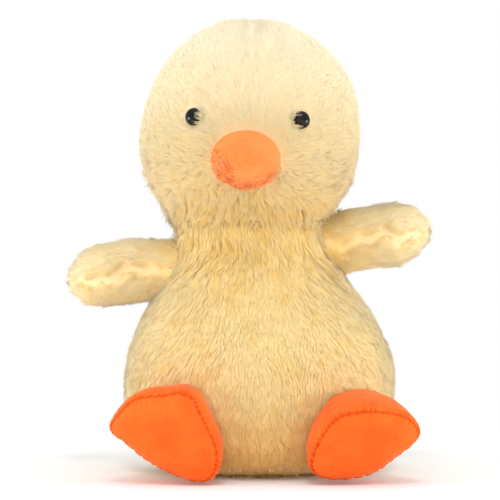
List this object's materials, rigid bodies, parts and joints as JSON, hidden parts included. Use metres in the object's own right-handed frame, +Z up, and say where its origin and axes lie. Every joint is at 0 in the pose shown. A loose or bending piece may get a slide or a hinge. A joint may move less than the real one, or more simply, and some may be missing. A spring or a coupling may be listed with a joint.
{
  "type": "plush duck",
  "caption": "Soft plush duckling that sits on its flat base, with a round head, a stubby beak, paddle wings, padded webbed feet and a short tail.",
  "frame": {"origin": "middle of the flat base that the duck sits on", "axes": "+Z up through the head; the duck looks along -Y, and +X is on the right in a front view"},
  "size_m": [0.2188, 0.1894, 0.2724],
  "materials": {
    "plush_fur": "short clumpy pale yellow pile",
    "orange_velour": "smooth orange velour",
    "polyester_filling": "loose white polyester fibre",
    "pellet_bag_cotton": "plain woven cotton",
    "glossy_eye": "glossy black",
    "washer_plastic": "satin white",
    "sewing_thread": "matt cream thread"
  },
  "bodies": {
    "torso": {"base_panel": "plush_fur", "body_front_panel": "plush_fur", "body_back_left_panel": "plush_fur", "body_back_right_panel": "plush_fur", "body_filling": "polyester_filling", "pellet_bag": "pellet_bag_cotton", "tail_upper_panel": "plush_fur", "tail_lower_panel": "plush_fur", "tail_filling": "polyester_filling"},
    "neck": {"neck_seam_thread": "sewing_thread"},
    "head": {"head_face_left_panel": "plush_fur", "head_face_right_panel": "plush_fur", "head_back_panel": "plush_fur", "head_filling": "polyester_filling", "eye_left": "glossy_eye", "eye_right": "glossy_eye", "eye_washer_left": "washer_plastic", "eye_washer_right": "washer_plastic", "beak_upper_panel": "orange_velour", "beak_lower_panel": "orange_velour", "beak_filling": "polyester_filling"},
    "wing_left": {"wing_left_upper_panel": "plush_fur", "wing_left_lower_panel": "plush_fur", "wing_left_filling": "polyester_filling"},
    "wing_right": {"wing_right_upper_panel": "plush_fur", "wing_right_lower_panel": "plush_fur", "wing_right_filling": "polyester_filling"},
    "foot_left": {"foot_left_sole_panel": "orange_velour", "foot_left_upper_panel": "orange_velour", "foot_left_filling": "polyester_filling"},
    "foot_right": {"foot_right_sole_panel": "orange_velour", "foot_right_upper_panel": "orange_velour", "foot_right_filling": "polyester_filling"}
  },
  "joints": [
    {"name": "head_turn", "type": "hinge", "parent": "torso", "child": "neck", "pos_m": [-0.006, 0, 0.201], "axis": [0, 0, 1], "range_deg": [-30, 30], "stiffness_Nm_per_rad": 0.4},
    {"name": "head_nod", "type": "hinge", "parent": "neck", "child": "head", "pos_m": [-0.006, 0, 0.201], "axis": [1, 0, 0], "range_deg": [-12, 12], "stiffness_Nm_per_rad": 0.5},
    {"name": "wing_left_flap", "type": "hinge", "parent": "torso", "child": "wing_left", "pos_m": [-0.05647, 0, 0.1225], "axis": [0, 1, 0], "range_deg": [-15, 25], "stiffness_Nm_per_rad": 0.12},
    {"name": "wing_right_flap", "type": "hinge", "parent": "torso", "child": "wing_right", "pos_m": [0.04307, 0, 0.138], "axis": [0, -1, 0], "range_deg": [-25, 15], "stiffness_Nm_per_rad": 0.12},
    {"name": "foot_left_tip", "type": "hinge", "parent": "torso", "child": "foot_left", "pos_m": [-0.0556, -0.05, 0.01], "axis": [0.9781, -0.2079, 0], "range_deg": [0, 30], "stiffness_Nm_per_rad": 0.15},
    {"name": "foot_right_tip", "type": "hinge", "parent": "torso", "child": "foot_right", "pos_m": [0.06, -0.05, 0.01], "axis": [0.9781, 0.2079, 0], "range_deg": [0, 20], "stiffness_Nm_per_rad": 0.15}
  ]
}
